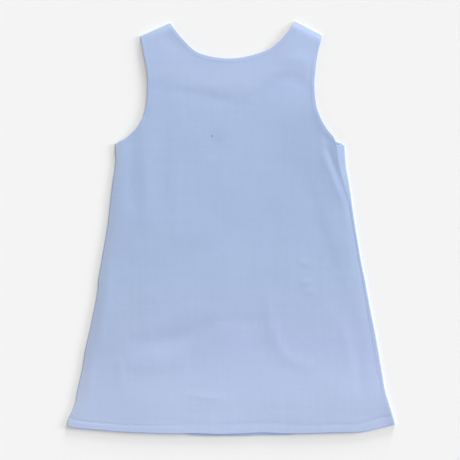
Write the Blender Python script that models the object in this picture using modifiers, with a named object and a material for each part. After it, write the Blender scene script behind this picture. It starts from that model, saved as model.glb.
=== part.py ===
"""A child's apron dress in light blue cotton, laid flat on its front with the back panel up.

Sizes in the tables are millimetres, and the meshes are in metres. X runs across the dress, Y from
the hem up to the neck, and Z up from the surface that the dress lies on.
"""

import math
from collections import namedtuple

import bmesh
import bpy
from mathutils import Vector
from mathutils.geometry import interpolate_bezier

MM = 0.001

# Overall size, the middle of the hem's width, and the cloth with its turned seam allowances.
DRESS_LENGTH = 520.5
MIDDLE = 0.35
CLOTH = 1.3
SEAM_GAP = 0.3
FLOOR_GAP = 0.1

# A fold's middle surface turns on this radius, and its edge then runs a little way back.
FOLD_RADIUS = 1.5
FOLD_INSET = FOLD_RADIUS + CLOTH / 2
FOLD_STEPS = 6
TURN_UNDER = 1.2

# Heights of the cloth's middle surface: the under layer, the upper layer and the folded sides.
UNDER_LAYER = CLOTH / 2
UPPER_LAYER = 3.2
FOLD_TOP = UNDER_LAYER + 2 * FOLD_RADIUS
FOLD_EASE = 7.0

# How far apart the points of the outlines and of the panels' lattices are.
OUTLINE_STEP = 10.0
BACK_LATTICE = 10.0
FRONT_LATTICE = 24.0
EDGE_RING = 5.0

# The tables measure across from the centre line, and up from the lowest point of the hem.
# Below the arms: the two folded sides, and the seam that shows on top near the right fold.
Side = namedtuple("Side", "up left right seam")
SIDES = [
    Side(15, -206.9, 207.6, 204.6),
    Side(23, -205.0, 205.9, 202.4),
    Side(32, -200.3, 203.0, 199.2),
    Side(45, -195.5, 198.9, 194.4),
    Side(58, -193.6, 194.9, 190.6),
    Side(86, -187.1, 190.0, 184.6),
    Side(108, -183.8, 186.2, 180.7),
    Side(133, -178.0, 181.7, 176.4),
    Side(158, -172.8, 176.7, 172.4),
    Side(184, -167.8, 171.7, 168.2),
    Side(197, -167.0, 169.4, 166.1),
    Side(222, -162.7, 164.2, 161.4),
    Side(247, -158.4, 160.0, 157.2),
    Side(272, -154.3, 155.9, 152.9),
    Side(298, -151.7, 152.2, 147.9),
    Side(313, -149.9, 150.0, 143.8),
    Side(326, -148.2, 147.9, 140.0),
    Side(339, -145.9, 145.6, 136.8),
    Side(349, -145.0, 144.7, 134.9),
    Side(359, -145.9, 144.3, 134.2),
    Side(367, -146.3, 143.6, 133.7),
]

# The armholes of the back panel, from the underarm up to the shoulder.
Armhole = namedtuple("Armhole", "left_across left_up right_across right_up")
ARMHOLES = [
    Armhole(-141.4, 372.0, 132.4, 373.5),
    Armhole(-134.1, 376.3, 130.9, 378.4),
    Armhole(-122.9, 386.4, 123.4, 386.4),
    Armhole(-115.6, 396.5, 116.7, 396.5),
    Armhole(-111.0, 406.7, 111.9, 407.0),
    Armhole(-107.6, 420.0, 107.9, 420.0),
    Armhole(-106.0, 440.2, 105.8, 442.0),
    Armhole(-106.9, 460.0, 106.8, 460.0),
    Armhole(-110.8, 483.5, 109.6, 483.5),
    Armhole(-114.4, 502.2, 113.2, 502.6),
]

# The necklines, from one shoulder down to the centre and up again. The front's is the deeper.
Neck = namedtuple("Neck", "across up")
BACK_NECK = [
    Neck(78.4, 518.5),
    Neck(69.0, 508.0),
    Neck(57.7, 496.6),
    Neck(47.4, 489.0),
    Neck(25.3, 481.4),
    Neck(0.0, 477.8),
    Neck(-24.5, 480.2),
    Neck(-41.1, 485.2),
    Neck(-51.5, 492.8),
    Neck(-65.7, 508.0),
    Neck(-75.0, 518.5),
]
FRONT_NECK = [
    Neck(83.0, 514.5),
    Neck(72.0, 490.0),
    Neck(58.0, 462.0),
    Neck(34.0, 441.0),
    Neck(0.0, 434.0),
    Neck(-33.0, 441.0),
    Neck(-56.0, 462.0),
    Neck(-69.0, 490.0),
    Neck(-79.5, 514.5),
]

# The hem edge of each panel. The front's shows below the back's near the centre.
Hem = namedtuple("Hem", "across back front")
HEM = [
    Hem(-204.7, 12.8, 14.0),
    Hem(-200.0, 10.5, 12.0),
    Hem(-164.6, 7.5, 9.0),
    Hem(-139.3, 5.4, 6.8),
    Hem(-114.0, 4.2, 5.4),
    Hem(-64.0, 2.9, 3.0),
    Hem(-45.0, 3.2, 0.6),
    Hem(-12.0, 2.0, 0.0),
    Hem(18.0, 2.9, 0.4),
    Hem(40.0, 4.2, 1.2),
    Hem(69.0, 2.8, 1.0),
    Hem(88.0, 2.9, 3.2),
    Hem(126.0, 4.2, 5.4),
    Hem(164.0, 5.2, 6.4),
    Hem(176.6, 7.2, 8.0),
    Hem(188.7, 10.0, 10.4),
    Hem(202.6, 14.4, 13.9),
]

# Soft folds in the upper layer: a line across and up, its rise and the width it spreads.
Fold = namedtuple("Fold", "from_across from_up to_across to_up rise spread")
FOLDS = [
    Fold(121.0, 362.0, 128.0, 336.0, 1.3, 6.5),
    Fold(128.0, 336.0, 148.0, 290.0, 1.3, 6.5),
    Fold(98.0, 375.0, 105.0, 308.0, -0.8, 10.0),
    Fold(105.0, 308.0, 134.0, 224.0, -0.8, 11.0),
    Fold(134.0, 224.0, 154.0, 178.0, -0.5, 9.0),
    Fold(-102.0, 384.0, -102.0, 284.0, 1.0, 7.0),
    Fold(-117.0, 360.0, -117.0, 292.0, -0.7, 6.5),
    Fold(-130.0, 360.0, -131.0, 300.0, 0.9, 6.0),
    Fold(-50.0, 147.0, 74.0, 141.0, -0.7, 7.0),
    Fold(-98.0, 168.0, -56.0, 130.0, -0.8, 12.0),
    Fold(-114.0, 115.0, -52.0, 103.0, 0.9, 9.0),
    Fold(50.0, 184.0, 88.0, 97.0, 1.2, 8.0),
    Fold(30.0, 170.0, 66.0, 90.0, -0.6, 10.0),
    Fold(-30.0, 484.0, 30.0, 484.0, -1.0, 16.0),
]


def place(across, up, height):
    """A point of the dress, in metres, with the origin under the middle of its outline."""
    return Vector((across - MIDDLE, up - DRESS_LENGTH / 2, height)) * MM


def measured(point):
    """How far across and up a point in metres lies, as the tables measure it."""
    return point.x / MM + MIDDLE, point.y / MM + DRESS_LENGTH / 2


def smooth_path(stops):
    """Points about a step apart, on a smooth curve through the stops."""
    stops = [Vector(stop) for stop in stops]
    path = stops[:1]
    for index, (start, end) in enumerate(zip(stops, stops[1:])):
        before = stops[max(index - 1, 0)]
        after = stops[min(index + 2, len(stops) - 1)]
        leave = start + (end - before) / 6
        arrive = end - (after - start) / 6
        pieces = max(1, round((end - start).length / OUTLINE_STEP))
        path += interpolate_bezier(start, leave, arrive, end, pieces + 1)[1:]
    return path


def side_at(up, column):
    """How far across a side or the seam lies at this height, read between the table's rows."""
    rows = [(row.up, getattr(row, column)) for row in SIDES]
    up = min(max(up, rows[0][0]), rows[-1][0])
    for (low, start), (high, end) in zip(rows, rows[1:]):
        if up <= high:
            return start + (end - start) * (up - low) / (high - low)
    return rows[-1][1]


def distance_to_line(across, up, start, end):
    """The distance from a point to a straight line between two others."""
    point, start, end = Vector((across, up)), Vector(start), Vector(end)
    along = (point - start).dot(end - start) / (end - start).length_squared
    return (point - start.lerp(end, min(max(along, 0.0), 1.0))).length


def shoulder_lines():
    """Both shoulders, from the armhole to the neck."""
    top = ARMHOLES[-1]
    left = ((top.left_across, top.left_up), tuple(BACK_NECK[-1]))
    right = ((top.right_across, top.right_up), tuple(BACK_NECK[0]))
    return left, right


def upper_height(across, up):
    """The height of the back panel's middle surface: its folds, eased into the folded edges.

    Folds that meet don't add up: the strongest rise and the deepest trough hold.
    """
    rises = [0.0]
    for fold in FOLDS:
        start = (fold.from_across, fold.from_up)
        end = (fold.to_across, fold.to_up)
        distance = distance_to_line(across, up, start, end)
        rises.append(fold.rise * math.exp(-((distance / fold.spread) ** 2)))
    height = UPPER_LAYER + max(rises) + min(rises)
    edges = [distance_to_line(across, up, *line) for line in shoulder_lines()]
    if up < SIDES[-1].up:
        edges.append(abs(across - side_at(up, "left") - FOLD_INSET))
        edges.append(abs(across - side_at(up, "seam")))
    near = math.exp(-((min(edges) / FOLD_EASE) ** 2))
    return height + (FOLD_TOP - height) * near


def filled_outline(name, outline):
    """One flat face with this outline."""
    curve = bpy.data.curves.new(name, "CURVE")
    curve.dimensions = "2D"
    curve.fill_mode = "BOTH"
    spline = curve.splines.new("POLY")
    spline.points.add(len(outline) - 1)
    for point, stop in zip(spline.points, outline):
        point.co = (*place(stop.x, stop.y, 0.0), 1.0)
    spline.use_cyclic_u = True
    guide = bpy.data.objects.new(name, curve)
    mesh = bpy.data.meshes.new_from_object(guide)
    bpy.data.objects.remove(guide)
    bm = bmesh.new()
    bm.from_mesh(mesh)
    bpy.data.meshes.remove(mesh)
    bmesh.ops.remove_doubles(bm, verts=bm.verts, dist=0.01 * MM)
    bmesh.ops.dissolve_faces(bm, faces=bm.faces[:])
    bmesh.ops.recalc_face_normals(bm, faces=bm.faces)
    if bm.faces[0].normal.z < 0:
        bmesh.ops.reverse_faces(bm, faces=bm.faces)
    return bm


def mark_folds(bm, fold_paths):
    """Marks the outline's edges that lie on a fold, so that cuts across them keep the mark."""
    for path in fold_paths:
        stops = [place(stop.x, stop.y, 0.0) for stop in path]
        for edge in bm.edges:
            ends = [min((vert.co - stop).length for stop in stops) for vert in edge.verts]
            if max(ends) < 0.05 * MM:
                edge.seam = True


def cut_lattice(bm, spacing):
    """A ring along the edge, then straight cuts both ways, to let the flat face bend."""
    bmesh.ops.inset_region(bm, faces=bm.faces[:], thickness=EDGE_RING * MM, use_even_offset=True)
    reach = DRESS_LENGTH / 2
    cuts = int(reach / spacing)
    for axis in (Vector((1, 0, 0)), Vector((0, 1, 0))):
        for index in range(-cuts, cuts + 1):
            bmesh.ops.bisect_plane(
                bm,
                geom=bm.verts[:] + bm.edges[:] + bm.faces[:],
                dist=0.6 * MM,
                plane_co=axis * (index * spacing * MM),
                plane_no=axis,
            )


def turn_fold(bm, ends_at):
    """Carries each marked edge half round its fold and back over or under its own panel."""
    edges = [edge for edge in bm.edges if edge.seam and edge.is_boundary]
    rooted = {}
    for vert in {vert for edge in edges for vert in edge.verts}:
        run = [edge.other_vert(vert).co for edge in vert.link_edges if edge in edges]
        along = run[0] - (run[1] if len(run) > 1 else vert.co)
        outward = Vector((along.y, -along.x, 0)).normalized()
        inside = [face.calc_center_median() for face in vert.link_faces]
        if outward.dot(sum(inside, Vector()) / len(inside) - vert.co) > 0:
            outward.negate()
        rooted[vert] = (vert.co.copy(), outward)
    for step in range(1, FOLD_STEPS + 2):
        made = bmesh.ops.extrude_edge_only(bm, edges=edges)["geom"]
        edges = [item for item in made if isinstance(item, bmesh.types.BMEdge)]
        moved = {}
        for vert in (item for item in made if isinstance(item, bmesh.types.BMVert)):
            others = [edge.other_vert(vert) for edge in vert.link_edges]
            root, outward = next(rooted[other] for other in others if other in rooted)
            finish = ends_at(root, outward)
            turn = math.pi * min(step, FOLD_STEPS) / FOLD_STEPS
            swing = (1 - math.cos(turn)) / 2
            vert.co = root + outward * (FOLD_RADIUS * MM * math.sin(turn))
            vert.co.z = root.z + (finish.z - root.z) * swing
            if step > FOLD_STEPS:
                vert.co = finish
            moved[vert] = (root, outward)
        edges = [edge for edge in edges if all(vert in moved for vert in edge.verts)]
        rooted = moved


def end_underneath(root, outward):
    """Where the back panel's folded edge stops, on its underside."""
    finish = root - outward * (TURN_UNDER * MM)
    finish.z = (UNDER_LAYER + FLOOR_GAP) * MM
    return finish


def end_at_seam(root, outward):
    """Where the front panel's folded edge stops, beside the seam on top."""
    up = measured(root)[1]
    return place(side_at(up, "seam") + SEAM_GAP / 2, up, FOLD_TOP)


def back_panel():
    """The upper panel: it turns under at the left side and at both shoulders."""
    hem = smooth_path([(row.across, row.back) for row in HEM])
    seam = [Vector((row.seam - SEAM_GAP / 2, row.up)) for row in SIDES]
    right_arm = smooth_path([(row.right_across, row.right_up) for row in ARMHOLES])
    neck = smooth_path(BACK_NECK)
    left_arm = smooth_path([(row.left_across, row.left_up) for row in reversed(ARMHOLES)])
    left_side = smooth_path([(row.left + FOLD_INSET, row.up) for row in reversed(SIDES)])
    left_shoulder = smooth_path([neck[-1], left_arm[0]])
    right_shoulder = smooth_path([right_arm[-1], neck[0]])
    outline = hem + seam + right_arm + right_shoulder[1:-1] + neck
    outline += left_shoulder[1:-1] + left_arm + left_side
    bm = filled_outline("back_panel", outline)
    mark_folds(bm, [left_side, left_shoulder, right_shoulder])
    cut_lattice(bm, BACK_LATTICE)
    for vert in bm.verts:
        vert.co.z = upper_height(*measured(vert.co)) * MM
    turn_fold(bm, end_underneath)
    return bm


def front_panel():
    """The under panel: flat on the surface, it turns over the right side to the seam on top."""
    inset = FOLD_INSET + TURN_UNDER + SEAM_GAP
    hem = smooth_path([(max(row.across, HEM[0].across + inset), row.front) for row in HEM])
    right_side = smooth_path([(row.right - FOLD_INSET, row.up) for row in SIDES])
    corner = [(139.4, 370.4), (134.6, 371.6)]
    arm_inset = 3.0
    right_arm = corner + [(row.right_across - arm_inset, row.right_up) for row in ARMHOLES[1:-1]]
    right_arm.append((110.0, 500.4))
    neck = smooth_path(FRONT_NECK)
    left_arm = [(-111.2, 500.0)]
    left_arm += [(row.left_across + arm_inset, row.left_up - 1) for row in ARMHOLES[-2::-1]]
    left_side = [(row.left + inset, row.up) for row in reversed(SIDES)]
    outline = hem + right_side + smooth_path(right_arm) + neck
    outline += smooth_path(left_arm) + smooth_path(left_side)
    bm = filled_outline("front_panel", outline)
    mark_folds(bm, [right_side])
    cut_lattice(bm, FRONT_LATTICE)
    for vert in bm.verts:
        vert.co.z = UNDER_LAYER * MM
    turn_fold(bm, end_at_seam)
    return bm


def cotton(name, colour):
    """Light blue plain-woven cotton."""
    material = bpy.data.materials.new(name)
    material.use_nodes = True
    shader = material.node_tree.nodes["Principled BSDF"]
    shader.inputs["Base Color"].default_value = (*colour, 1.0)
    shader.inputs["Roughness"].default_value = 0.9
    shader.inputs["Metallic"].default_value = 0.0
    return material


def add_panel(name, bm, colour, collection):
    """Gives a panel its cloth's thickness, half on each side of its middle surface."""
    bmesh.ops.recalc_face_normals(bm, faces=bm.faces)
    mesh = bpy.data.meshes.new(name)
    bm.to_mesh(mesh)
    bm.free()
    mesh.shade_smooth()
    mesh.materials.append(cotton(f"{name}_cotton", colour))
    panel = bpy.data.objects.new(name, mesh)
    collection.objects.link(panel)
    wall = panel.modifiers.new("cloth", "SOLIDIFY")
    wall.thickness = CLOTH * MM
    wall.offset = 0.0
    wall.use_even_offset = True
    return panel


for leftover in list(bpy.data.objects):
    bpy.data.objects.remove(leftover)

dress = bpy.data.collections.new("apron_dress")
bpy.context.scene.collection.children.link(dress)
add_panel("back_panel", back_panel(), (0.41, 0.51, 0.72), dress)
add_panel("front_panel", front_panel(), (0.38, 0.48, 0.69), dress)
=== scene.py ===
"""A child's apron dress in light blue cotton, laid flat on its front with the back panel up.

Tables and sizes are in millimetres, and the meshes are in metres. X runs across the dress, Y from
the hem up to the neck, and Z up from the surface that the dress lies on.
"""

import math
from collections import namedtuple

import bmesh
import bpy
import numpy as np
from mathutils import Matrix, Vector, noise
from mathutils.bvhtree import BVHTree
from mathutils.geometry import interpolate_bezier


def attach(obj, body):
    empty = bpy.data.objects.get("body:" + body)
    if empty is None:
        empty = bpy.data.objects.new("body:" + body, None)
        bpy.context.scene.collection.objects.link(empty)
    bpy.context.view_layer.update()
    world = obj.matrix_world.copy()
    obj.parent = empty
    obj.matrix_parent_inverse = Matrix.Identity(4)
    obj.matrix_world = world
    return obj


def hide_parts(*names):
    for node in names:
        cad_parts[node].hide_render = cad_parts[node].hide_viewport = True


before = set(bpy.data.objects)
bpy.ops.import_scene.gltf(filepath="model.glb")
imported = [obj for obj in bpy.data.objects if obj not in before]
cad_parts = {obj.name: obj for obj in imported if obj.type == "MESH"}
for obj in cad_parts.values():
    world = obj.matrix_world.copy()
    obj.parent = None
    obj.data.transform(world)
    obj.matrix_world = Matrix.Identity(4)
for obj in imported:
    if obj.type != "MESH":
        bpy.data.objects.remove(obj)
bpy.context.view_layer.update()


# The front panel, cut in one piece with both straps from light blue woven cotton. It lies face down
# on the floor. At the wearer's left it folds up over the side and comes back to the side seam, which
# lies on top. Its hem, neck and armholes are turned under and stitched.
MM = 0.001
DRESS_LENGTH = 520.5
MIDDLE = 0.35
FLOOR_GAP = 0.1
FOLD_RADIUS = 1.6
FOLD_TOP = FLOOR_GAP + 2 * FOLD_RADIUS
TURN_UNDER = 2.4
SEAM_RADIUS = 0.16
SEAM_DEPTH = 0.3
SEAM_SLIT = 0.03
SEAM_REACH = 0.6
SEAM_LIFT = 1.1
SEAM_RISES_FROM = 285
SEAM_RISES_OVER = 55
FRONT_SEAM_INSET = FOLD_RADIUS + TURN_UNDER + 2 * SEAM_RADIUS + 2 * SEAM_SLIT
EDGE_RADIUS = 0.35
EDGE_DEPTH = 0.5
EDGE_STITCHING = 5.7
ALLOWANCE = 3.2
BAND = 1.45
END_BLEND = 10
PAST_STRAP = 6
CLOTH = 0.5
FRONT_SAG = 0.4
DOWN = Vector((0, 0, -1))

# The finished edges as the dress lies, measured across from the centre line and up from the lowest
# point of the hem. The hem dips where the front shows below the back, and its stitching wanders.
Side = namedtuple("Side", "up left right seam")
SIDES = [
    Side(9, -208.8, 209.4, 205.5),
    Side(15, -207.7, 208.4, 204.6),
    Side(23, -205.8, 206.7, 202.4),
    Side(32, -201.1, 203.8, 199.2),
    Side(45, -196.3, 199.8, 194.4),
    Side(58, -194.4, 195.8, 190.6),
    Side(86, -187.9, 190.9, 184.6),
    Side(108, -184.6, 187.1, 180.7),
    Side(133, -178.8, 182.6, 176.4),
    Side(158, -173.6, 177.6, 172.4),
    Side(184, -168.6, 172.6, 168.2),
    Side(197, -167.8, 170.3, 166.1),
    Side(222, -163.5, 165.1, 161.4),
    Side(247, -159.2, 160.9, 157.2),
    Side(272, -155.1, 156.8, 152.9),
    Side(298, -152.5, 153.1, 147.9),
    Side(313, -150.7, 150.9, 143.8),
    Side(326, -149.0, 148.8, 140.4),
    Side(339, -146.7, 146.4, 137.4),
    Side(349, -145.8, 145.3, 135.3),
    Side(359, -146.5, 144.7, 134.2),
    Side(374, -147.0, 143.5, 133.2),
]
Hem = namedtuple("Hem", "across back front stitching")
HEM = [
    Hem(-205.4, 12.8, 13.8, 9.9),
    Hem(-200.0, 10.5, 11.5, 10.0),
    Hem(-190.0, 9.1, 10.4, 9.6),
    Hem(-164.6, 7.3, 8.6, 8.8),
    Hem(-139.3, 5.2, 6.4, 8.9),
    Hem(-114.0, 4.0, 5.0, 9.0),
    Hem(-90.0, 3.2, 4.2, 9.5),
    Hem(-64.0, 2.8, 2.8, 11.0),
    Hem(-45.0, 3.2, 0.6, 11.6),
    Hem(-26.0, 2.4, 0.0, 12.8),
    Hem(-14.0, 2.0, 0.0, 12.3),
    Hem(18.0, 2.9, 0.4, 12.0),
    Hem(40.0, 4.0, 1.2, 12.5),
    Hem(69.0, 2.8, 1.2, 12.0),
    Hem(88.0, 2.9, 3.2, 10.4),
    Hem(101.0, 3.2, 4.2, 9.7),
    Hem(126.0, 4.0, 5.0, 10.1),
    Hem(154.0, 4.5, 5.5, 9.7),
    Hem(164.0, 5.0, 6.0, 10.0),
    Hem(176.6, 7.2, 8.0, 11.2),
    Hem(188.7, 10.0, 10.4, 12.6),
    Hem(203.4, 14.2, 13.9, 11.0),
]
Armhole = namedtuple("Armhole", "left_across left_up right_across right_up")
FRONT_ARMHOLES = [
    Armhole(-141.2, 367.9, 142.2, 368.4),
    Armhole(-138.8, 369.6, 139.6, 370.3),
    Armhole(-132.0, 374.1, 134.6, 371.8),
    Armhole(-126.0, 379.2, 128.6, 376.4),
    Armhole(-120.6, 384.5, 121.0, 384.5),
    Armhole(-113.0, 395.0, 114.1, 395.0),
    Armhole(-108.2, 405.7, 109.1, 405.9),
    Armhole(-104.6, 419.6, 104.9, 419.5),
    Armhole(-102.8, 440.2, 102.8, 441.9),
    Armhole(-103.6, 460.3, 103.8, 460.3),
    Armhole(-107.6, 484.0, 106.9, 483.9),
    Armhole(-111.2, 503.3, 111.3, 504.0),
]
Neck = namedtuple("Neck", "across up")
FRONT_NECK = [
    Neck(84.0, 517.8),
    Neck(72.0, 489.0),
    Neck(58.0, 462.0),
    Neck(34.0, 441.0),
    Neck(0.0, 434.0),
    Neck(-33.0, 441.0),
    Neck(-56.0, 462.0),
    Neck(-69.0, 489.0),
    Neck(-80.5, 516.8),
]

# How the cloth rises and falls over a stitched edge, by its distance in from the edge as a share of
# the stitching's. It dips along the thread and swells a little over the allowance.
Row = namedtuple("Row", "share relief")
HEM_ROWS = [
    Row(1.3, 0.0),
    Row(1.18, -0.04),
    Row(1.09, -0.12),
    Row(1.0, -0.2),
    Row(0.93, -0.13),
    Row(0.85, -0.03),
    Row(0.7, 0.04),
    Row(0.45, 0.05),
    Row(0.2, 0.03),
    Row(0.05, 0.01),
    Row(0.0, 0.0),
]
EDGE_ROWS = [
    Row(1.3, 0.0),
    Row(1.12, -0.03),
    Row(1.0, -0.05),
    Row(0.9, 0.01),
    Row(0.75, 0.04),
    Row(0.5, 0.03),
    Row(0.3, 0.0),
    Row(0.12, -0.04),
    Row(0.04, -0.07),
    Row(0.0, -0.08),
]


def place(across, up, height=0.0):
    """A point of the dress, in metres, with the origin under the middle of its outline."""
    return Vector((across - MIDDLE, up - DRESS_LENGTH / 2, height)) * MM


def across_up(points):
    """The points of a mesh in the tables' millimetres."""
    where = np.array([point[:2] for point in points]) / MM
    return where + (MIDDLE, DRESS_LENGTH / 2)


def smooth_path(stops, step=2.5):
    """Points about a step apart, on a smooth curve through the stops."""
    stops = [Vector(stop) for stop in stops]
    path = stops[:1]
    for index, (start, end) in enumerate(zip(stops, stops[1:])):
        before = stops[max(index - 1, 0)]
        after = stops[min(index + 2, len(stops) - 1)]
        leave = start + (end - before) / 6
        arrive = end - (after - start) / 6
        pieces = max(1, round((end - start).length / step))
        path += interpolate_bezier(start, leave, arrive, end, pieces + 1)[1:]
    return np.array(path)


def left_of(path):
    """The direction to the left of a path at each of its points."""
    tangent = np.gradient(path, axis=0)
    tangent /= np.linalg.norm(tangent, axis=1)[:, None]
    return np.column_stack((-tangent[:, 1], tangent[:, 0]))


def spots_on(path, points):
    """Where each point lies along a path, counted in the path's steps, and how far off it is."""
    start, run = path[:-1], np.diff(path, axis=0)
    offset = points[:, None, :] - start
    share = np.clip((offset * run).sum(2) / (run**2).sum(1), 0, 1)
    gap = np.linalg.norm(offset - share[..., None] * run, axis=2)
    nearest = gap.argmin(1)
    rows = np.arange(len(points))
    return nearest + share[rows, nearest], gap[rows, nearest]


def at_spots(values, spots):
    """The values of a path at places counted in its steps."""
    steps = np.arange(len(values))
    return np.column_stack([np.interp(spots, steps, column) for column in np.transpose(values)])


def travelled(path):
    """How far along a path each of its points lies."""
    return np.concatenate(([0.0], np.cumsum(np.linalg.norm(np.diff(path, axis=0), axis=1))))


def line_from(line, corner):
    """The rest of a line from the place nearest to a corner."""
    spot = spots_on(line, np.array([corner]))[0][0]
    return np.vstack((at_spots(line, [spot]), line[int(spot) + 1 :]))


def turned_over(points):
    """Points seen from below, where left and right change places."""
    return [(2 * MIDDLE - across, up) for across, up in points]


def shoulder_line(armhole_end, neck_end):
    """A straight shoulder, a little longer than the strap at both ends."""
    armhole_end, neck_end = Vector(armhole_end), Vector(neck_end)
    past = (neck_end - armhole_end).normalized() * PAST_STRAP
    return smooth_path([armhole_end - past, neck_end + past])


# Cutting: a panel is a flat piece of cloth, and rows of points follow its hem, neck and armholes.
StitchedEdge = namedtuple("StitchedEdge", "path stitching depth rows line_before line_after")


def edge_row(edge, share):
    """The line that lies in from a stitched edge by a share of its stitching's distance. Its ends
    slide along the neighbouring lines."""
    inset = EDGE_RADIUS + share * (edge.stitching - EDGE_RADIUS)
    row = edge.path + left_of(edge.path) * inset[:, None]
    along = travelled(edge.path)
    for end, line, gone in ((0, edge.line_before, along), (-1, edge.line_after, along[-1] - along)):
        spot = np.interp(inset[end], travelled(line), np.arange(len(line)))
        row += (at_spots(line, [spot])[0] - row[end]) * np.exp(-((gone / END_BLEND) ** 2))[:, None]
    return row


def extend(bm, edges, frames, target):
    """Extrudes a border once. Each point has a frame, and target gives its new place from that."""
    made = bmesh.ops.extrude_edge_only(bm, edges=edges)["geom"]
    moved = {}
    for vert in made:
        if isinstance(vert, bmesh.types.BMVert):
            neighbours = [edge.other_vert(vert) for edge in vert.link_edges]
            moved[vert] = next(frames[near] for near in neighbours if near in frames)
            vert.co = target(moved[vert])
    made = [edge for edge in made if isinstance(edge, bmesh.types.BMEdge)]
    return [edge for edge in made if edge.verts[0] in moved and edge.verts[1] in moved], moved


def border_on(bm, path, tolerance, done=()):
    """The open edges of the cloth that lie on a path, apart from those already done."""
    edges = [edge for edge in bm.edges if edge.is_boundary and edge not in done]
    _, gaps = spots_on(path, across_up([vert.co for edge in edges for vert in edge.verts]))
    return [edge for edge, near in zip(edges, (gaps < tolerance).reshape(-1, 2).all(1)) if near]


def cut_panel(stitched, lines, spacing):
    """Cuts a panel. stitched gives the hem, right armhole, neck and left armhole, each a path, its
    stitching's distance and depth, and its rows, and lines the side or shoulder that follows it."""
    bm = bmesh.new()
    # Layers for the relief, for painted light above the facing and for painted shade along the left fold.
    for layer in ("relief", "painted_light", "fold_shade"):
        bm.verts.layers.float.new(layer)
    relief = bm.verts.layers.float["relief"]
    edges_round = [
        StitchedEdge(
            path,
            np.broadcast_to(stitching, len(path)),
            np.broadcast_to(depth, len(path)),
            rows,
            line_from(lines[index - 1][::-1], path[0]),
            line_from(lines[index], path[-1]),
        )
        for index, (path, stitching, depth, rows) in enumerate(stitched)
    ]
    inner_rows = [edge_row(edge, BAND) for edge in edges_round]
    outline = []
    for index, (row, line) in enumerate(zip(inner_rows, lines)):
        following = inner_rows[(index + 1) % len(inner_rows)]
        start, end = spots_on(line, np.array([row[-1], following[0]]))[0]
        outline += [*row, *line[math.ceil(start + 0.2) : math.floor(end - 0.2) + 1]]
    verts = [bm.verts.new(place(*stop)) for stop in outline]
    cut = [bm.edges.new(pair) for pair in zip(verts, verts[1:] + verts[:1])]
    bmesh.ops.edgeloop_fill(bm, edges=cut)
    bm.normal_update()
    if bm.faces[:][0].normal.z < 0:
        bmesh.ops.reverse_faces(bm, faces=bm.faces[:])
    cuts = int(DRESS_LENGTH / 2 / spacing)
    for axis in (Vector((1, 0, 0)), Vector((0, 1, 0))):
        for index in range(-cuts, cuts + 1):
            bmesh.ops.bisect_plane(
                bm,
                geom=bm.verts[:] + bm.edges[:] + bm.faces[:],
                dist=0.25 * MM,
                plane_co=axis * (index * spacing * MM),
                plane_no=axis,
            )
    runs = []
    for edge, first in zip(edges_round, inner_rows):
        border = border_on(bm, first, tolerance=0.02)
        verts = list({vert for part in border for vert in part.verts})
        spots, _ = spots_on(first, across_up([vert.co for vert in verts]))
        depths = np.interp(spots, np.arange(len(edge.depth)), edge.depth)
        frames = {vert: index for index, vert in enumerate(verts)}
        for row in edge.rows:
            targets = at_spots(edge_row(edge, row.share), spots)
            border, frames = extend(bm, border, frames, lambda index: place(*targets[index]))
            for vert, index in frames.items():
                vert[relief] = row.relief * depths[index]
        outward = targets - at_spots(edge_row(edge, edge.rows[-2].share), spots)
        runs.append((border, {vert: Vector((*outward[index], 0)) for vert, index in frames.items()}))
    return bm, edges_round, runs


# Laying: the cloth lies loosely and slopes down to the folds and seams at its sides. Soft ridges and
# troughs run where it is slack.
Crease = namedtuple("Crease", "stops rise spread")
Step = namedtuple("Step", "stops rise spread")
Slack = namedtuple("Slack", "wide tall rise")
Fold = namedtuple("Fold", "path slope steepness top")


def left_side(path, where, spots, gaps):
    """How far each point lies to the left of a path, and below zero to its right."""
    nearest = at_spots(path, spots)
    towards = at_spots(left_of(path), spots)
    return np.where(((where - nearest) * towards).sum(1) > 0, gaps, -gaps)


def crease_heights(where, creases):
    """How much the creases raise or lower each point. A crease is a ridge or a trough along a line,
    and a step lifts the cloth to the left of its line. Both fade out towards their ends."""
    heights = np.zeros(len(where))
    for crease in creases:
        path = smooth_path(crease.stops, 4.0)
        spots, gaps = spots_on(path, where)
        along = np.clip(spots / (len(path) - 1), 0.0, 1.0)
        if isinstance(crease, Step):
            across = 0.5 + 0.5 * np.tanh(left_side(path, where, spots, gaps) / crease.spread)
        else:
            across = np.exp(-((gaps / crease.spread) ** 2))
        heights += crease.rise * np.sin(np.pi * along) ** 0.7 * across
    return heights


def lay_cloth(bm, base, creases, slack, folds, seed):
    """Gives every point of the flat cloth its height. base is a height or works one out, and a fold
    says how far in from a side the cloth slopes, how steeply, and to what height."""
    relief = bm.verts.layers.float["relief"]
    verts = bm.verts[:]
    where = across_up([vert.co for vert in verts])
    heights = (base(where) if callable(base) else base) + crease_heights(where, creases)
    for wave in slack:
        spots = [Vector((across / wave.wide, up / wave.tall, seed)) for across, up in where]
        heights += wave.rise * np.array([noise.noise(spot) for spot in spots])
    sewn = np.array([vert[relief] for vert in verts])
    near_fold = np.zeros(len(verts))
    for fold in folds:
        here = np.exp(-((spots_on(fold.path, where)[1] / fold.slope) ** fold.steepness))
        heights += (fold.top(where) - heights) * here
        near_fold = np.maximum(near_fold, here)
    heights += np.where(sewn > 0, sewn * (1 - near_fold), sewn)
    for vert, height in zip(verts, heights):
        vert.co.z = height * MM


# Sewing: a stitched edge rolls over and its allowance lies flat underneath. A folded edge carries
# the cloth round to the other layer, and a seam turns its edge in between the layers.
Bend = namedtuple("Bend", "root outward inward radius depth reach lift")


def nowhere(where):
    """No distance, for every point."""
    return np.zeros(len(where))


def fold_top(radius):
    """The height of a fold's upper layer, the same all along it."""
    return lambda where: np.full(len(where), FLOOR_GAP + 2 * radius)


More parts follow.
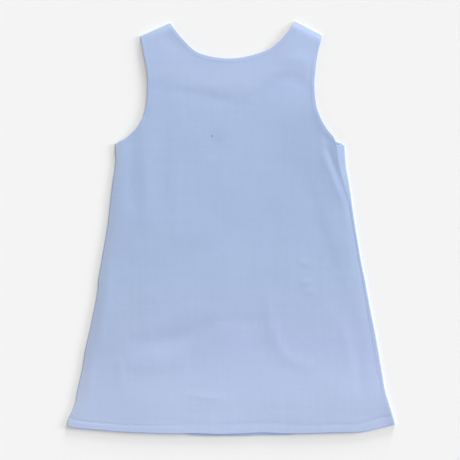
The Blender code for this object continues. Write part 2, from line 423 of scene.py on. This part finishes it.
def seam_top(where):
    """The height of the seam on top, which stands up towards the armhole."""
    share = np.clip((where[:, 1] - SEAM_RISES_FROM) / SEAM_RISES_OVER, 0, 1)
    return FOLD_TOP + SEAM_LIFT * share**2 * (3 - 2 * share)


def roll(bm, edges, bends, turn, steps):
    """Turns a border about its own axis, and returns the bends at the end of the turn."""
    for step in range(1, steps + 1):
        out, over = math.sin(turn * step / steps), 1 - math.cos(turn * step / steps)
        edges, bends = extend(
            bm, edges, bends, lambda b: b.root + b.outward * (out * b.radius) + b.inward * (over * b.depth)
        )
    out, over = math.sin(turn), math.cos(turn)
    ended = {
        vert: b._replace(
            root=vert.co.copy(),
            outward=b.outward * over + b.inward * out,
            inward=b.inward * over - b.outward * out,
        )
        for vert, b in bends.items()
    }
    return edges, ended


def run_on(bm, edges, bends, steps):
    """Carries a border straight on, as far as each point's bend says, and lifts it on the way."""
    for step in range(1, steps + 1):
        share = step / steps
        edges, bends = extend(
            bm, edges, bends, lambda b: b.root + b.outward * (b.reach * share) - b.inward * (b.lift * share)
        )
    return edges, {vert: b._replace(root=vert.co.copy()) for vert, b in bends.items()}


def turn_stitched_edges(bm, runs):
    """Rolls the hem, neck and armhole edges over, and returns the edges of their allowances."""
    done = []
    for edges, outward in runs:
        bends = {
            vert: Bend(
                vert.co.copy(), out.normalized(), DOWN, EDGE_RADIUS * MM, EDGE_DEPTH * MM, ALLOWANCE * MM, 0
            )
            for vert, out in outward.items()
        }
        edges, bends = roll(bm, edges, bends, math.pi, 6)
        edges, bends = run_on(bm, edges, bends, 2)
        done += edges
    return set(done)


def side_bends(bm, path, top, radius, depth, reach, lift, done):
    """The border on a fold or seam. What lies under the surface there turns on a smaller radius."""
    edges = border_on(bm, path, tolerance=0.35, done=done)
    verts = list({vert for edge in edges for vert in edge.verts})
    where = across_up([vert.co for vert in verts])
    outward = -at_spots(left_of(path), spots_on(path, where)[0])
    bends = {}
    for vert, out, far, high, surface in zip(verts, outward, reach(where), lift(where), top(where)):
        left = max(1 - (surface - vert.co.z / MM) / depth, 0.04)
        out = Vector((*out, 0)).normalized()
        bends[vert] = Bend(
            vert.co.copy(), out, DOWN, radius * left * MM, depth * left * MM, far * MM, high * MM
        )
    return edges, bends


def turn_fold(bm, path, radius, reach, lift, done):
    """Folds the cloth over along a side or shoulder, and ends it at a seam."""
    edges, bends = side_bends(bm, path, fold_top(radius), radius, radius, reach, lift, done)
    edges, bends = roll(bm, edges, bends, math.pi, 9)
    edges, bends = run_on(bm, edges, bends, 3)
    bends = {vert: b._replace(radius=SEAM_RADIUS * MM, depth=SEAM_DEPTH * MM) for vert, b in bends.items()}
    roll(bm, edges, bends, math.pi / 2, 3)


def turn_seam(bm, path, top, done):
    """Turns a seam edge in between the layers."""
    edges, bends = side_bends(
        bm,
        path,
        top,
        SEAM_RADIUS,
        SEAM_DEPTH,
        lambda where: np.full(len(where), SEAM_REACH),
        nowhere,
        done,
    )
    edges, bends = roll(bm, edges, bends, math.pi / 2, 3)
    run_on(bm, edges, bends, 1)


def finish_panel(name, bm, material):
    """Makes a panel's object, with the cloth's thickness on its inner side. The broad faces set the
    shading, so that a rolled edge doesn't darken the flat cloth beside it."""
    mesh = bpy.data.meshes.new(name)
    for face in bm.faces:
        face.smooth = True
    bm.to_mesh(mesh)
    bm.free()
    mesh.materials.append(material)
    panel = bpy.data.objects.new(name, mesh)
    bpy.context.scene.collection.objects.link(panel)
    wall = panel.modifiers.new("cloth thickness", "SOLIDIFY")
    wall.thickness = CLOTH * MM
    wall.offset = -1
    panel.modifiers.new("even shading", "WEIGHTED_NORMAL")
    return panel


# Light blue plain-woven cotton, soft from washing. It gives a matt surface with a faint nap, a fine weave
# with slubs, and a colour that goes from clear blue at the chest to lavender at the hem. Its colour also
# holds painted light and shade: darker through the middle and lighter towards the hem and neck, painted
# shade towards the low left and along the folded side, and painted light above the facing's edge.
BLUES_AND_PAINTED_FALLOFF = [
    (45, "#B8C6E8"),
    (115, "#AFBEE1"),
    (210, "#A9BCDD"),
    (300, "#A8BBDE"),
    (400, "#AABDE0"),
    (470, "#ADC0E4"),
]
# Painted shade: a duller tint towards the low left.
LOW_LEFT_PAINTED_SHADE = "#F9FAF8"
# Painted shade: a warmer, duller tint along the folded side at the left.
LEFT_FOLD_PAINTED_SHADE = "#FFFBF5"
# Painted light: white mixed in above the facing's edge and over the label's patch.
PAINTED_LIGHT_WHITE = "#FFFFFF"
WEAVE_PITCH = 0.9
Mark = namedtuple("Mark", "across up radius shade")


def linear(colour):
    """An sRGB hex colour as linear RGBA."""
    parts = [int(colour[index : index + 2], 16) / 255 for index in (1, 3, 5)]
    return (*[part / 12.92 if part <= 0.04045 else ((part + 0.055) / 1.055) ** 2.4 for part in parts], 1)


def add_node(tree, kind, settings=None, values=None, links=None):
    """Adds a node with its settings, its socket values and the links into its sockets."""
    node = tree.nodes.new(kind)
    for name, value in (settings or {}).items():
        setattr(node, name, value)
    for socket, value in (values or {}).items():
        node.inputs[socket].default_value = value
    for socket, source in (links or {}).items():
        tree.links.new(source, node.inputs[socket])
    return node


def woven_cotton(name, marks_and_painted_light=()):
    """The cotton of a panel, with its marks and its broad patches of painted light and shade, which darken
    it or make it paler.
    """
    material = bpy.data.materials.new(name)
    material.use_nodes = True
    tree = material.node_tree
    tree.nodes.clear()
    where = add_node(tree, "ShaderNodeTexCoord").outputs["Object"]
    split = add_node(tree, "ShaderNodeSeparateXYZ", links={0: where})
    flat = add_node(
        tree, "ShaderNodeCombineXYZ", links={"X": split.outputs["X"], "Y": split.outputs["Y"]}
    ).outputs[0]

    # The blues by their height up the dress, with painted light and shade: darker through the middle,
    # lighter towards the hem and neck.
    up_dress = add_node(
        tree,
        "ShaderNodeMapRange",
        values={"From Min": -DRESS_LENGTH / 2 * MM, "From Max": DRESS_LENGTH / 2 * MM},
        links={"Value": split.outputs["Y"]},
    )
    blues_and_falloff = add_node(tree, "ShaderNodeValToRGB", links={"Fac": up_dress.outputs["Result"]})
    stops = blues_and_falloff.color_ramp.elements
    stops.remove(stops[1])
    for index, (up, colour) in enumerate(BLUES_AND_PAINTED_FALLOFF):
        stop = stops.new(up / DRESS_LENGTH) if index else stops[0]
        stop.position = up / DRESS_LENGTH
        stop.color = linear(colour)

    # Painted shade towards the low left and along the folded side, and painted light above the facing's edge
    # and over the label's patch.
    to_left = add_node(
        tree,
        "ShaderNodeMapRange",
        values={"From Min": 0.0, "From Max": -0.145},
        links={"Value": split.outputs["X"]},
    )
    to_hem = add_node(
        tree,
        "ShaderNodeMapRange",
        values={"From Min": -0.07, "From Max": -0.13, "To Min": 0.25, "To Max": 1.0},
        links={"Value": split.outputs["Y"]},
    )
    low_left_shade = add_node(
        tree,
        "ShaderNodeMath",
        {"operation": "MULTIPLY"},
        links={0: to_left.outputs["Result"], 1: to_hem.outputs["Result"]},
    )
    fold_shade = add_node(tree, "ShaderNodeAttribute", {"attribute_name": "fold_shade"})
    painted_light = add_node(tree, "ShaderNodeAttribute", {"attribute_name": "painted_light"})
    colour = blues_and_falloff.outputs["Color"]
    for blend, tint, share in (
        ("MULTIPLY", LOW_LEFT_PAINTED_SHADE, low_left_shade.outputs[0]),
        ("MULTIPLY", LEFT_FOLD_PAINTED_SHADE, fold_shade.outputs["Fac"]),
        ("MIX", PAINTED_LIGHT_WHITE, painted_light.outputs["Fac"]),
    ):
        mix = add_node(tree, "ShaderNodeMix", {"data_type": "RGBA", "blend_type": blend}, {7: linear(tint)})
        tree.links.new(share, mix.inputs[0])
        tree.links.new(colour, mix.inputs[6])
        colour = mix.outputs[2]

    # Warp and weft, drawn at 0.9 mm because the real 0.35 mm is too fine for the render.
    turns = 2 * math.pi / (WEAVE_PITCH * MM)
    waves = []
    for axis in ("X", "Y"):
        scaled = add_node(
            tree, "ShaderNodeMath", {"operation": "MULTIPLY"}, {1: turns}, {0: split.outputs[axis]}
        )
        waves.append(add_node(tree, "ShaderNodeMath", {"operation": "SINE"}, links={0: scaled.outputs[0]}))
    weave = add_node(
        tree,
        "ShaderNodeMath",
        {"operation": "MULTIPLY"},
        links={0: waves[0].outputs[0], 1: waves[1].outputs[0]},
    )
    slubs = add_node(
        tree, "ShaderNodeTexNoise", values={"Scale": 420.0, "Detail": 2.0}, links={"Vector": flat}
    )
    grain = add_node(
        tree,
        "ShaderNodeMath",
        {"operation": "MULTIPLY_ADD"},
        {1: 0.3},
        {0: weave.outputs[0], 2: slubs.outputs["Fac"]},
    )

    # What lightens and darkens the blue: the grain, clouds where the dye took unevenly, thicker threads
    # along the warp and the weft, the marks, and the broad patches of painted light and shade.
    shades = [(grain.outputs[0], 0.0, 1.0, 0.05)]
    for stretch, size, depth in (
        ((1, 1, 1), 14.0, 0.018),
        ((1, 0.06, 1), 170.0, 0.01),
        ((0.06, 1, 1), 170.0, 0.01),
    ):
        stretched = add_node(
            tree, "ShaderNodeVectorMath", {"operation": "MULTIPLY"}, {1: stretch}, {0: flat}
        )
        pattern = add_node(
            tree,
            "ShaderNodeTexNoise",
            values={"Scale": size, "Detail": 3.0},
            links={"Vector": stretched.outputs[0]},
        )
        shades.append((pattern.outputs["Fac"], 0.3, 0.7, depth))
    factors = [
        add_node(
            tree,
            "ShaderNodeMapRange",
            values={"From Min": low, "From Max": high, "To Min": 1 - depth, "To Max": 1 + depth},
            links={"Value": source},
        )
        for source, low, high, depth in shades
    ]
    # The marks: a speck with its faint patches, and broad patches of painted light and shade.
    for mark in marks_and_painted_light:
        middle = place(mark.across, mark.up)
        away = add_node(tree, "ShaderNodeVectorMath", {"operation": "DISTANCE"}, {1: middle}, {0: flat})
        factors.append(
            add_node(
                tree,
                "ShaderNodeMapRange",
                {"interpolation_type": "SMOOTHSTEP"},
                {
                    "From Min": mark.radius * 0.3 * MM,
                    "From Max": mark.radius * MM,
                    "To Min": mark.shade,
                    "To Max": 1.0,
                },
                {"Value": away.outputs["Value"]},
            )
        )
    for factor in factors:
        scaled = add_node(
            tree,
            "ShaderNodeVectorMath",
            {"operation": "SCALE"},
            links={0: colour, "Scale": factor.outputs["Result"]},
        )
        colour = scaled.outputs[0]
    bump = add_node(
        tree,
        "ShaderNodeBump",
        values={"Strength": 0.35, "Distance": 0.00012},
        links={"Height": grain.outputs[0]},
    )
    cloth = add_node(
        tree,
        "ShaderNodeBsdfPrincipled",
        values={"Roughness": 0.9, "Sheen Weight": 0.12, "Sheen Roughness": 0.5, "Specular IOR Level": 0.25},
        links={"Base Color": colour, "Normal": bump.outputs["Normal"]},
    )
    add_node(tree, "ShaderNodeOutputMaterial", links={"Surface": cloth.outputs[0]})
    return material


# The front is drawn from its own outside and then turned over.
fold_side = smooth_path([(row.right, row.up) for row in SIDES])
fold_side = fold_side + left_of(fold_side) * FOLD_RADIUS
seam_on_top = smooth_path([(row.seam, row.up) for row in SIDES])
seam_side = smooth_path([(row.left, row.up) for row in SIDES])
seam_side = seam_side - left_of(seam_side) * FRONT_SEAM_INSET

front_hem = smooth_path(turned_over([(row.across, row.front) for row in reversed(HEM)]))
front_stitching = np.interp(-front_hem[:, 0], [row.across for row in HEM], [row.stitching for row in HEM])
front_fold = np.array(turned_over(fold_side))[::-1]
front_seam = np.array(turned_over(seam_side))
front_top_seam = np.array(turned_over(seam_on_top))[::-1]
front_right_armhole = turned_over([(row.left_across, row.left_up) for row in FRONT_ARMHOLES])
front_left_armhole = turned_over([(row.right_across, row.right_up) for row in FRONT_ARMHOLES])
front_neck = turned_over([(row.across, row.up) for row in reversed(FRONT_NECK)])
front_shoulders = [
    shoulder_line(front_right_armhole[-1], front_neck[0]),
    shoulder_line(front_left_armhole[-1], front_neck[-1])[::-1],
]

front_bm, front_edges, front_runs = cut_panel(
    [
        (front_hem, front_stitching, 1.0, HEM_ROWS),
        (smooth_path(front_right_armhole), EDGE_STITCHING, 1.0, EDGE_ROWS),
        (smooth_path(front_neck), EDGE_STITCHING, 1.0, EDGE_ROWS),
        (smooth_path(front_left_armhole)[::-1], EDGE_STITCHING, 1.0, EDGE_ROWS),
    ],
    [front_seam, front_shoulders[0], front_shoulders[1], front_fold],
    spacing=5.0,
)
lay_cloth(
    front_bm,
    base=FOLD_TOP - FRONT_SAG,
    creases=[
        Crease([(-60, 380), (-72, 300), (-66, 210)], 0.18, 9.0),
        Crease([(40, 360), (58, 280), (70, 180)], -0.4, 10.0),
        Crease([(110, 330), (128, 240), (150, 130)], -0.35, 9.0),
        Crease([(-120, 260), (-142, 160), (-150, 70)], -0.35, 8.0),
        Crease([(-40, 150), (10, 140), (60, 148)], -0.3, 7.0),
        Crease([(-96, 120), (-30, 96), (30, 100)], 0.15, 8.0),
    ],
    slack=[Slack(60, 60, 0.1), Slack(24, 24, 0.05)],
    folds=[
        Fold(front_fold, 4.0, 1.6, fold_top(FOLD_RADIUS)),
        Fold(front_seam, 4.0, 1.6, fold_top(FOLD_RADIUS)),
    ],
    seed=3.0,
)
front_done = turn_stitched_edges(front_bm, front_runs)
turn_fold(
    front_bm,
    front_fold,
    FOLD_RADIUS,
    lambda where: spots_on(front_top_seam, where)[1] - SEAM_RADIUS - SEAM_SLIT,
    lambda where: seam_top(where) - FOLD_TOP,
    front_done,
)
for line in (front_seam, *front_shoulders):
    turn_seam(front_bm, line, fold_top(FOLD_RADIUS), front_done)
turn_over = Matrix.Translation((0, 0, (FOLD_TOP + FLOOR_GAP) * MM)) @ Matrix.Rotation(math.pi, 4, "Y")
bmesh.ops.transform(front_bm, matrix=turn_over, verts=front_bm.verts[:])

front_cotton = woven_cotton("light_blue_woven_cotton_front")
front_cloth = finish_panel("front_cloth", front_bm, front_cotton)
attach(front_cloth, "root")
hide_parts("front_panel")


# The back panel, cut from the same cotton with a higher neck, which lies on top. It folds under
# along the side at the left and along both shoulders, and at the right it meets the front at the
# side seam. A facing sewn inside its neck presses a faint edge through to the outside.
BACK_TOP = 4.1
LEFT_FOLD_RADIUS = 1.3
SHOULDER_RADIUS = 1.2
BACK_ARMHOLE_STITCHING = 5.2
PALER = 0.034
PATCH_MIDDLE = (2.5, 458)
PATCH_HALF = (26, 15.5)
SOFT_EDGE = 2.5
FOLD_SHADE_REACH = 9
BACK_ARMHOLES = [
    Armhole(-144.3, 369.6, 133.6, 370.0),
    Armhole(-141.2, 372.0, 132.6, 373.5),
    Armhole(-133.7, 376.3, 130.2, 378.4),
    Armhole(-122.4, 386.4, 123.4, 386.4),
    Armhole(-115.0, 396.5, 116.7, 396.5),
    Armhole(-110.4, 406.7, 111.9, 407.0),
    Armhole(-107.0, 420.0, 107.9, 420.0),
    Armhole(-105.3, 440.2, 105.9, 442.0),
    Armhole(-106.2, 460.0, 107.0, 460.0),
    Armhole(-110.3, 483.5, 110.0, 483.5),
    Armhole(-114.4, 504.9, 115.5, 505.9),
]
BACK_NECK = [
    Neck(81.2, 524.2),
    Neck(69.8, 508.6),
    Neck(57.9, 496.6),
    Neck(47.4, 489.0),
    Neck(25.3, 481.4),
    Neck(0.0, 477.8),
    Neck(-24.5, 480.2),
    Neck(-41.1, 485.2),
    Neck(-51.5, 492.8),
    Neck(-65.7, 508.0),
    Neck(-75.9, 521.9),
]
FACING_EDGE = [
    (-136, 455), (-112, 452), (-81, 447), (-51, 441), (-21, 432), (2, 432), (30, 436), (47, 450), (66, 462),
    (84, 461), (99, 448), (112, 436), (128, 424),
]

# A dark speck with two faint patches by it, and broad patches of painted light and shade: painted shade
# below the right armhole, beside the seam and at the low right, and painted light at the low left. A shade
# over 1 is paler.
BACK_MARKS_AND_PAINTED_LIGHT = [
    Mark(-24.2, 379.3, 1.7, 0.5),
    Mark(-15, 380, 15, 0.965),
    Mark(-25.5, 353, 8, 1.02),
    Mark(108, 375, 80, 0.958),
    Mark(135, 262, 60, 0.98),
    Mark(-110, 12, 130, 1.028),
    Mark(140, 15, 100, 0.984),
]

back_fold = smooth_path([(row.left, row.up) for row in reversed(SIDES)])
back_fold = back_fold + left_of(back_fold) * LEFT_FOLD_RADIUS
back_seam = seam_on_top + left_of(seam_on_top) * (SEAM_RADIUS + SEAM_SLIT)
back_hem = smooth_path([(row.across, row.back) for row in HEM])
back_stitching = np.interp(back_hem[:, 0], [row.across for row in HEM], [row.stitching for row in HEM])
# The hem's dip is deepest towards both sides.
back_dip = np.interp(back_hem[:, 0], [-205, -150, -60, 40, 120, 205], [1.0, 0.9, 0.5, 0.45, 0.6, 1.0])
back_right_armhole = [(row.right_across, row.right_up) for row in BACK_ARMHOLES]
back_left_armhole = [(row.left_across, row.left_up) for row in BACK_ARMHOLES]
back_neck = [(row.across, row.up) for row in BACK_NECK]
back_shoulders = [
    shoulder_line(back_right_armhole[-1], back_neck[0]),
    shoulder_line(back_left_armhole[-1], back_neck[-1])[::-1],
]
facing_edge = smooth_path(FACING_EDGE)


def above_facing(where):
    """How far each point lies above the facing's edge, and below zero under it."""
    return left_side(facing_edge, where, *spots_on(facing_edge, where))


def back_height(where):
    """The back panel's height before its creases. It settles towards its sides, hem, neck and
    armholes."""
    height = np.full(len(where), BACK_TOP)
    for line, drop, reach in (
        (back_fold, 0.7, 40),
        (back_seam, 0.6, 40),
        (back_hem, 1.2, 34),
        (smooth_path(back_right_armhole), 0.5, 26),
        (smooth_path(back_left_armhole), 0.9, 26),
        (smooth_path(back_neck), 0.6, 50),
    ):
        height -= drop * np.exp(-((spots_on(line, where)[1] / reach) ** 2))
    return height


back_bm, back_edges, back_runs = cut_panel(
    [
        (back_hem, back_stitching, back_dip, HEM_ROWS),
        (smooth_path(back_right_armhole), BACK_ARMHOLE_STITCHING, 1.0, EDGE_ROWS),
        (smooth_path(back_neck), EDGE_STITCHING, 1.0, EDGE_ROWS),
        (smooth_path(back_left_armhole)[::-1], BACK_ARMHOLE_STITCHING, 1.0, EDGE_ROWS),
    ],
    [back_seam, back_shoulders[0], back_shoulders[1], back_fold],
    spacing=2.6,
)
lay_cloth(
    back_bm,
    base=back_height,
    creases=[
        # The facing's edge, and the pull at the left of the neck and below the right strap.
        Step(FACING_EDGE, 0.55, 8.5),
        Crease([(-110, 444), (-60, 434), (-22, 426), (12, 424)], -0.12, 8.0),
        Crease([(-44, 438), (-20, 428), (6, 427)], -0.22, 7.0),
        Crease([(26, 428), (48, 440), (68, 450), (88, 446), (104, 430)], -0.25, 8.0),
        Crease([(62, 473), (84, 476), (104, 464)], 0.22, 8.0),
        Crease([(-92, 513), (-78, 499), (-61, 486)], -0.27, 8.0),
        # The chest at the left.
        Crease([(-126, 384), (-126, 336), (-125, 286)], -0.28, 8.5),
        Crease([(-105, 404), (-107, 349), (-107, 262)], 0.48, 12.5),
        Crease([(-72, 372), (-72, 310), (-71, 244)], 0.2, 8.0),
        # From the right armhole down beside the seam.
        Step(
            [(104, 424), (100, 352), (108, 299), (122, 254), (133, 220), (144, 183), (152, 160), (168, 112)],
            0.6,
            8.0,
        ),
        Step([(110, 396), (113, 352), (118, 322), (129, 294)], 0.42, 4.5),
        Crease(
            [(118, 360), (120, 350), (125, 337), (132, 319), (139, 304), (146, 284), (151, 262)],
            0.45,
            4.0,
        ),
        Crease([(120, 370), (124, 360), (130, 345), (136, 330), (142, 314), (148, 298)], -0.75, 3.8),
        Step([(101, 418), (106, 400), (112, 386), (119, 377), (128, 368)], 0.35, 4.0),
        Crease([(116, 382), (121, 375), (126, 370)], -0.3, 3.5),
        # Below the middle.
        Crease([(-132, 118), (-85, 121), (-54, 128), (-22, 141)], -0.56, 12.0),
        Crease([(-46, 136), (-20, 144), (10, 146), (40, 144), (70, 150)], -0.2, 7.0),
        Crease([(-136, 90), (-95, 92), (-50, 95)], 0.45, 14.0),
        Crease([(44, 196), (48, 160), (56, 124), (68, 102), (88, 92), (112, 88)], 0.34, 9.0),
        Crease([(84, 218), (93, 219), (102, 218)], 0.22, 3.8),
        Crease([(86, 194), (95, 195), (103, 194)], 0.24, 3.8),
        Crease([(92, 181), (99, 182), (107, 181)], 0.2, 3.8),
        # Along the left side, and low down.
        Crease([(-155, 224), (-159, 180), (-167, 116)], 0.4, 7.0),
        Crease([(-124, 170), (-104, 179), (-86, 174)], 0.25, 10.0),
        Crease([(-174, 104), (-178, 78), (-184, 52)], 0.25, 5.5),
        Crease([(-141, 100), (-139, 78), (-138, 56)], 0.22, 6.0),
        Crease([(-60, 52), (-30, 49), (-2, 46)], 0.19, 3.2),
        Crease([(-4, 36), (-14, 25), (-22, 14)], -0.2, 3.0),
        Crease([(24, 33), (95, 32), (168, 33)], -0.06, 2.5),
        Crease([(162, 112), (163, 80), (164, 46)], -0.3, 7.0),
        Crease([(140, 150), (146, 112), (149, 84)], 0.25, 7.0),
        Crease([(188, 72), (196, 45), (202, 22)], -0.25, 3.0),
    ],
    slack=[
        Slack(80, 80, 0.2), Slack(34, 34, 0.1), Slack(11, 45, 0.05), Slack(50, 9, 0.04), Slack(9, 9, 0.02),
    ],
    folds=[
        Fold(back_fold, 8.0, 1.3, fold_top(LEFT_FOLD_RADIUS)),
        Fold(back_seam, 6.5, 1.2, seam_top),
        Fold(back_shoulders[0], 4.0, 1.6, fold_top(SHOULDER_RADIUS)),
        Fold(back_shoulders[1], 4.0, 1.6, fold_top(SHOULDER_RADIUS)),
    ],
    seed=11.0,
)

# Painted light makes the cotton paler above the facing's edge and over a small oblong patch under the yoke,
# and painted shade makes it duller along the folded side.
painted_light = back_bm.verts.layers.float["painted_light"]
fold_shade = back_bm.verts.layers.float["fold_shade"]
back_where = across_up([vert.co for vert in back_bm.verts])
over_facing = np.clip(0.5 + above_facing(back_where) / (2 * SOFT_EDGE), 0, 1)
over_patch = np.clip((PATCH_HALF - abs(back_where - PATCH_MIDDLE)) / SOFT_EDGE, 0, 1).prod(1)
beside_fold = np.exp(-((spots_on(back_fold, back_where)[1] / FOLD_SHADE_REACH) ** 2))
for vert, on_facing, on_patch, on_fold_shade in zip(back_bm.verts, over_facing, over_patch, beside_fold):
    vert[painted_light] = PALER * (on_facing + 0.3 * on_patch)
    vert[fold_shade] = on_fold_shade

back_done = turn_stitched_edges(back_bm, back_runs)
for line, radius in (
    (back_fold, LEFT_FOLD_RADIUS),
    (back_shoulders[0], SHOULDER_RADIUS),
    (back_shoulders[1], SHOULDER_RADIUS),
):
    turn_fold(back_bm, line, radius, lambda where: np.full(len(where), TURN_UNDER), nowhere, back_done)
turn_seam(back_bm, back_seam, seam_top, back_done)

back_cotton = woven_cotton("light_blue_woven_cotton_back", BACK_MARKS_AND_PAINTED_LIGHT)
back_cloth = finish_panel("back_cloth", back_bm, back_cotton)
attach(back_cloth, "root")
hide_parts("back_panel")


# The stitching, a row of short cotton threads in the dip along each hem, neck and armhole. A stitch is a
# slim bead, pulled in at both ends where it goes through the cloth. The stitches are sewn into their panels.
STITCH_PITCH = 3.1
STITCH_LENGTH = 2.5
THREAD = 0.42
THREAD_LIFT = 0.04
ROW_END = 2.0


def sew_stitches(name, panel, rows, through, material):
    """Sews a stitch every few millimetres along a panel's rows. through points into the cloth."""
    bm = bmesh.new()
    surface = BVHTree.FromPolygons(
        [vert.co for vert in panel.data.vertices], [face.vertices for face in panel.data.polygons]
    )
    for row in rows:
        along = travelled(row)
        count = int((along[-1] - 3) / STITCH_PITCH)
        for spot in np.linspace(ROW_END, along[-1] - ROW_END, count):
            near = np.interp([spot - 1, spot, spot + 1], along, np.arange(len(row)))
            before, middle, after = at_spots(row, near)
            found, normal, _, _ = surface.ray_cast(place(*middle) - through * (30 * MM), through)
            if found is None:
                continue
            tangent = Vector((*(after - before), 0)).normalized()
            side = normal.cross(tangent).normalized()
            turned = Matrix((tangent, side, normal)).transposed().to_4x4()
            shape = Matrix.Diagonal((STITCH_LENGTH / 2, THREAD / 2, THREAD / 2, 1))
            lifted = Matrix.Translation(found + normal * (THREAD_LIFT * MM))
            where = lifted @ turned @ shape @ Matrix.Scale(MM, 4)
            bmesh.ops.create_icosphere(bm, subdivisions=1, radius=1.0, matrix=where)
    mesh = bpy.data.meshes.new(name)
    for face in bm.faces:
        face.smooth = True
    bm.to_mesh(mesh)
    bm.free()
    mesh.materials.append(material)
    stitches = bpy.data.objects.new(name, mesh)
    bpy.context.scene.collection.objects.link(stitches)
    return stitches


front_rows = [np.array(turned_over(edge_row(edge, 1.0))) for edge in front_edges]
front_stitches = sew_stitches("front_stitches", front_cloth, front_rows, -DOWN, front_cotton)
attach(front_stitches, "root")

back_rows = [edge_row(edge, 1.0) for edge in back_edges]
back_stitches = sew_stitches("back_stitches", back_cloth, back_rows, DOWN, back_cotton)
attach(back_stitches, "root")


# The floor, a plain pale studio surface with a matt finish. It is one wide flat sheet, and the dress
# rests on it.
FLOOR_GREY = "#F5F5F5"

floor_mesh = bpy.data.meshes.new("floor")
floor_bm = bmesh.new()
bmesh.ops.create_grid(floor_bm, x_segments=1, y_segments=1, size=6.0)
floor_bm.to_mesh(floor_mesh)
floor_bm.free()
floor = bpy.data.objects.new("floor", floor_mesh)
bpy.context.scene.collection.objects.link(floor)
floor_paint = bpy.data.materials.new("matt_studio_floor")
floor_paint.use_nodes = True
floor_paint.node_tree.nodes.clear()
floor_surface = add_node(
    floor_paint.node_tree,
    "ShaderNodeBsdfPrincipled",
    values={"Base Color": linear(FLOOR_GREY), "Roughness": 1.0, "Specular IOR Level": 0.0},
)
add_node(floor_paint.node_tree, "ShaderNodeOutputMaterial", links={"Surface": floor_surface.outputs[0]})
floor_mesh.materials.append(floor_paint)


# The camera looks straight down on the middle of the dress. Broad soft light comes low from the top
# and the right, over an even light from above.
CAMERA_HEIGHT = 4.0
FRAME_WIDTH = 0.5824
SENSOR = 36.0
FLOOR_LIGHT = 3.12
WORLD_SHARE = 0.21

camera_data = bpy.data.cameras.new("camera")
camera_data.sensor_width = SENSOR
camera_data.lens = SENSOR * CAMERA_HEIGHT / FRAME_WIDTH
camera = bpy.data.objects.new("camera", camera_data)
camera.location = (-0.00144, 0.0002, CAMERA_HEIGHT)
bpy.context.scene.collection.objects.link(camera)
bpy.context.scene.camera = camera


def add_sun(name, share, angle, elevation, azimuth):
    """A soft sun that gives a share of the light on the floor. Its azimuth turns clockwise from the
    top of the photograph."""
    light = bpy.data.lights.new(name, "SUN")
    light.energy = FLOOR_LIGHT * share / math.sin(math.radians(elevation))
    light.angle = math.radians(angle)
    sun = bpy.data.objects.new(name, light)
    sun.rotation_euler = (math.radians(90 - elevation), 0, math.radians(180 - azimuth))
    bpy.context.scene.collection.objects.link(sun)


add_sun("low_light_from_top", 0.135, 13, 7.5, 15)
add_sun("middle_light_from_top", 0.05, 20, 20, 20)
add_sun("low_light_from_right", 0.18, 16, 13.5, 72)
add_sun("low_light_from_left", 0.05, 30, 15, 250)
add_sun("key_light", 0.08, 40, 38, 42)
add_sun("overhead_light", 0.295, 40, 78, 40)
world = bpy.data.worlds.new("studio")
world.use_nodes = True
world.node_tree.nodes["Background"].inputs["Color"].default_value = (1, 1, 1, 1)
world.node_tree.nodes["Background"].inputs["Strength"].default_value = FLOOR_LIGHT * WORLD_SHARE / math.pi
bpy.context.scene.world = world
bpy.context.scene.view_settings.view_transform = "Standard"
